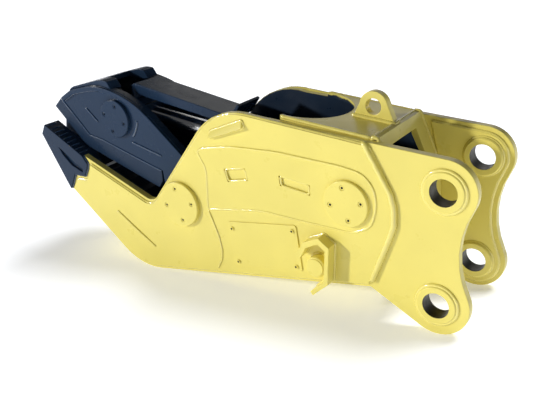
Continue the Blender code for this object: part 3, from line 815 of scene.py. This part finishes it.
def jaw_crest(side, word, y):
    """The jaw plate's top edge, from its front corner back to the pivot's boss."""
    front, back = at(*CREST_FRONT), at(*CREST_BACK)
    slope = (back.z - front.z) / (back.x - front.x)
    points = [
        Vector((p.x, y, p.z))
        for p in outer_loop(f"jaw_plate_{word}", side * JAW_OUT_Y)
        if p.z > front.z + slope * (p.x - front.x) - 1 * MM
    ]
    return sorted(points, key=lambda p: p.x)


RIM_STEP = 14 * MM
RIM_HEIGHT = 14 * MM
RIM_ROUNDING = 4 * MM
RIM_INSET = 1.5 * MM
RIM_WIDE, RIM_NARROW = 24, 11  # in front and behind, in millimetres


def jaw_rim(side, word):
    """Raised lip along the crest of the upper jaw, wider in front than behind."""
    path = resampled(jaw_crest(side, word, 0.0), RIM_STEP, False)[1:-3]
    outer, inner = [], []
    for i, here in enumerate(path):
        ahead = (path[min(i + 1, len(path) - 1)] - path[max(i - 1, 0)]).normalized()
        inward = Vector((ahead.z, 0, -ahead.x))
        share = i / (len(path) - 1)
        taper = min(1.0, max(0.0, (share - 0.4) * 3))
        width = (RIM_WIDE - (RIM_WIDE - RIM_NARROW) * taper) * MM
        outer.append(here + inward * RIM_INSET)
        inner.append(here + inward * width)
    plate_piece(
        f"jaw_rim_{word}", "jaw", "slate_paint", [outer + inner[::-1]],
        side, JAW_OUT_Y - 1 * MM, JAW_OUT_Y + RIM_HEIGHT, RIM_ROUNDING,
    )
    # The bead stops before the thrust ring.
    foot = [Vector((p.x, side * JAW_OUT_Y, p.z)) for p in inner[:-2]]
    welds(f"jaw_rim_weld_{word}", "jaw", "slate_paint", [(foot, (0, side, 0), FINE_BEAD, False)])


DOUBLER = (
    (-1110, 640), (-1085, 655), (-923, 676), (-700, 674), (-411, 645), (-315, 625), (-271, 574),
    (-262, 500), (-290, 410), (-370, 375), (-619, 392), (-795, 407), (-1074, 376), (-1093, 370),
    (-1071, 565), (-1104, 626),
)
PLUG_SLOTS = (
    ((-975, 575), (-960, 518), (-850, 535), (-860, 590)),
    ((-694, 577), (-692, 533), (-550, 507), (-548, 552)),
)
DOUBLER_CORNER = 34 * MM
DOUBLER_ROUNDING = 0.8 * MM


def doubler(side, word):
    """Thin patch welded over the middle of the skin, open where the plug slots are."""
    face = (0, side, 0)
    outline = softened(along(DOUBLER, 0.0), DOUBLER_CORNER)
    slots = [softened(along(slot, 0.0), 3 * MM, 3) for slot in PLUG_SLOTS]
    plate_piece(
        f"doubler_{word}", "frame", "yellow_paint", [outline, *slots],
        side, SKIN_Y - 1 * MM, SKIN_Y + 3 * MM, DOUBLER_ROUNDING,
    )
    runs = [([Vector((p.x, side * SKIN_Y, p.z)) for p in outline], face, SMALL_BEAD, True)]
    slot_level = side * (SKIN_Y - 2 * MM)
    for slot in PLUG_SLOTS:
        centre = sum(along(slot, 0.0), Vector()) / 4
        centre.y = slot_level
        ring = softened(along(slot, slot_level), 8 * MM, 3)
        runs.append(([p.lerp(centre, 0.08) for p in ring], face, FINE_BEAD, True))
    welds(f"doubler_welds_{word}", "frame", "yellow_paint", runs)


# Side of the rod's guard: millimetres from the rear pin along the rod, and square to it.
GUARD_FLANGE = ((1258, 138), (1248, 161), (700, 138), (680, 120), (716, 98), (1222, 112))
FLANGE_CORNER = 8 * MM
FLANGE_ROUNDING = 3.5 * MM


def guard_flange(side, word):
    """Folded side of the rod's guard."""
    ahead = (ROD_PIN - REAR_PIN).normalized()
    up = Vector((ahead.z, 0, -ahead.x))
    outline = [REAR_PIN + ahead * x * MM + up * z * MM for x, z in GUARD_FLANGE]
    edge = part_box("rod_guard")[1].y
    plate_piece(
        f"guard_flange_{word}", "rod", "slate_paint", [softened(outline, FLANGE_CORNER, 4)],
        side, edge - 9 * MM, edge + 1 * MM, FLANGE_ROUNDING,
    )


CAP_SCREW = (10 * MM, 6.5 * MM)  # radius and height of the head
COVER_SCREW = (9 * MM, 6 * MM)
CAP_SINK = 8 * MM  # the caps' screws sit this far below the caps' rim
CIRCLE_SHARE = 0.7  # the screws' circle as a share of the cap's radius
PLUG_R, PLUG_RIM_R = 21 * MM, 38 * MM
COVER_BOLTS = ((-966, 301), (-952, 144), (-652, 339), (-646, 177))


def cap_radius(cap):
    low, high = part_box(cap)
    return (high.x - low.x) / 2


def cap_screws(cap, centre, phase_deg):
    return bolt_places(centre, cap_radius(cap) * CIRCLE_SHARE, phase_deg)


def port_plug(side, word):
    """Plug in a hose port, with a flat rim on the port's face."""
    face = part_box("hose_port_far")[1].y
    profile = [
        (0.0, face - 6 * MM), (PLUG_R, face - 6 * MM), (PLUG_R, face + 0.2 * MM),
        (PLUG_RIM_R, face + 0.2 * MM), (PLUG_RIM_R, face + 3 * MM),
        (PLUG_RIM_R - 2 * MM, face + 4.5 * MM), (0.0, face + 4.5 * MM),
    ]
    bm = bmesh.new()
    add_turned(bm, PORT_CENTRE, side, profile, 48)
    bmesh.ops.recalc_face_normals(bm, faces=bm.faces)
    finished(f"port_plug_{word}", bm, [yellow_paint], "frame", TURNED_SMOOTH_DEG)


def side_screws(side, word):
    """Screws of the pin caps, the rod pin's cap and the service cover."""
    places = cap_screws("pivot_pin_cap_far", PIVOT, 8) + cap_screws("rear_pin_cap_far", REAR_PIN, 8)
    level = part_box("pivot_pin_cap_far")[1].y - CAP_SINK
    screws(f"cap_screws_{word}", "frame", "yellow_paint", places, side, level, *CAP_SCREW)
    places = cap_screws("rod_pin_cap_far", ROD_PIN, -18)
    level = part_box("rod_pin_cap_far")[1].y - CAP_SINK
    screws(f"rod_cap_screws_{word}", "jaw", "slate_paint", places, side, level, *CAP_SCREW)
    places = along(COVER_BOLTS, 0.0)
    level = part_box("service_cover_far")[1].y
    screws(f"cover_screws_{word}", "frame", "yellow_paint", places, side, level, *COVER_SCREW)


def build_details():
    for side, word in SIDES:
        weld_frame_side(side, word)
        weld_tips(side, word)
        weld_jaw_side(side, word)
        jaw_rim(side, word)
        guard_flange(side, word)
        doubler(side, word)
        side_screws(side, word)
        port_plug(side, word)
    weld_cross_members()


build_details()


# Floor, light and camera ---------------------------------------------------------------
def build_stage():
    """A plain pale floor, just under the lowest point."""
    material, _, shader = new_material("studio_floor")
    shader.inputs["Base Color"].default_value = rgba(0.86, 0.88, 0.93)
    shader.inputs["Roughness"].default_value = 0.85
    shader.inputs["Specular IOR Level"].default_value = 0.1
    shader.inputs["Emission Color"].default_value = rgba(1, 1, 1)
    shader.inputs["Emission Strength"].default_value = 0.3
    bm = bmesh.new()
    bmesh.ops.create_grid(bm, x_segments=1, y_segments=1, size=60.0)
    mesh = bpy.data.meshes.new("floor")
    bm.to_mesh(mesh)
    bm.free()
    mesh.materials.append(material)
    floor = bpy.data.objects.new("floor", mesh)
    bpy.context.scene.collection.objects.link(floor)
    floor.location.z = FLOOR_Z - 0.5 * MM
    return floor


def sun(name, azimuth, elevation, strength, angle, colour=(1, 1, 1)):
    """A sun that shines from the given compass direction; azimuth 0 is from -Y, 90 from +X."""
    data = bpy.data.lights.new(name, "SUN")
    data.energy = strength
    data.angle = math.radians(angle)
    data.color = colour
    obj = bpy.data.objects.new(name, data)
    bpy.context.scene.collection.objects.link(obj)
    a, e = math.radians(azimuth), math.radians(elevation)
    source = Vector((math.sin(a) * math.cos(e), -math.cos(a) * math.cos(e), math.sin(e)))
    obj.rotation_mode = "QUATERNION"
    obj.rotation_quaternion = source.to_track_quat("Z", "Y")
    return obj


def build_world():
    """White at the horizon, then a pale wall, darker behind the ears, and a dark ceiling."""
    world = bpy.data.worlds.new("studio")
    bpy.context.scene.world = world
    world.use_nodes = True
    tree = world.node_tree
    background = tree.nodes["Background"]
    background.inputs["Color"].default_value = rgba(0.97, 0.98, 1.0)
    where = add(tree, "ShaderNodeTexCoord").outputs["Generated"]
    split = add(tree, "ShaderNodeSeparateXYZ", {0: where}).outputs
    wall = remap(tree, split["Z"], 0.08, 0.32, 0.72, 0.06)
    wall = calc(tree, "MULTIPLY", wall, remap(tree, split["X"], 0.0, 0.7, 1.0, 0.25))
    horizon = remap(tree, split["Z"], 0.06, 0.16, 1.0, 0.0)
    tree.links.new(calc(tree, "MAXIMUM", wall, horizon), background.inputs["Strength"])


def build_light(floor):
    """A low key light, a weak fill from behind, and a light for the floor alone.

    The floor's own light keeps it white while the object's top faces stay dark.
    """
    sun("key", azimuth=-50, elevation=17, strength=2.25, angle=4, colour=(1.0, 0.985, 0.95))
    sun("fill", azimuth=195, elevation=28, strength=0.3, angle=40, colour=(1.0, 0.98, 0.93))
    floor_only = bpy.data.collections.new("floor_only")
    floor_only.objects.link(floor)
    overhead = sun("overhead", azimuth=140, elevation=58, strength=3.0, angle=30)
    overhead.light_linking.receiver_collection = floor_only


CAMERA_PLACE = at(869.69, 1514.17, -2.45915)
# The camera's axes: towards the picture's right side, down it, and into it.
CAMERA_RIGHT = Vector((0.83264, 0.54586, -0.09349))
CAMERA_DOWN = Vector((0.12501, -0.34971, -0.92848))
CAMERA_VIEW = Vector((-0.53951, 0.76140, -0.35942))
FOCAL_MM = 45.68
SENSOR_MM = 36.0


def build_camera():
    data = bpy.data.cameras.new("camera")
    data.sensor_width = SENSOR_MM
    data.lens = FOCAL_MM
    data.clip_end = 200
    obj = bpy.data.objects.new("camera", data)
    bpy.context.scene.collection.objects.link(obj)
    turn = Matrix((CAMERA_RIGHT, -CAMERA_DOWN, -CAMERA_VIEW)).transposed()
    obj.location = CAMERA_PLACE
    obj.rotation_mode = "QUATERNION"
    obj.rotation_quaternion = turn.to_quaternion()
    bpy.context.scene.camera = obj


stage_floor = build_stage()
build_world()
build_light(stage_floor)
build_camera()
bpy.context.scene.view_settings.view_transform = "Standard"
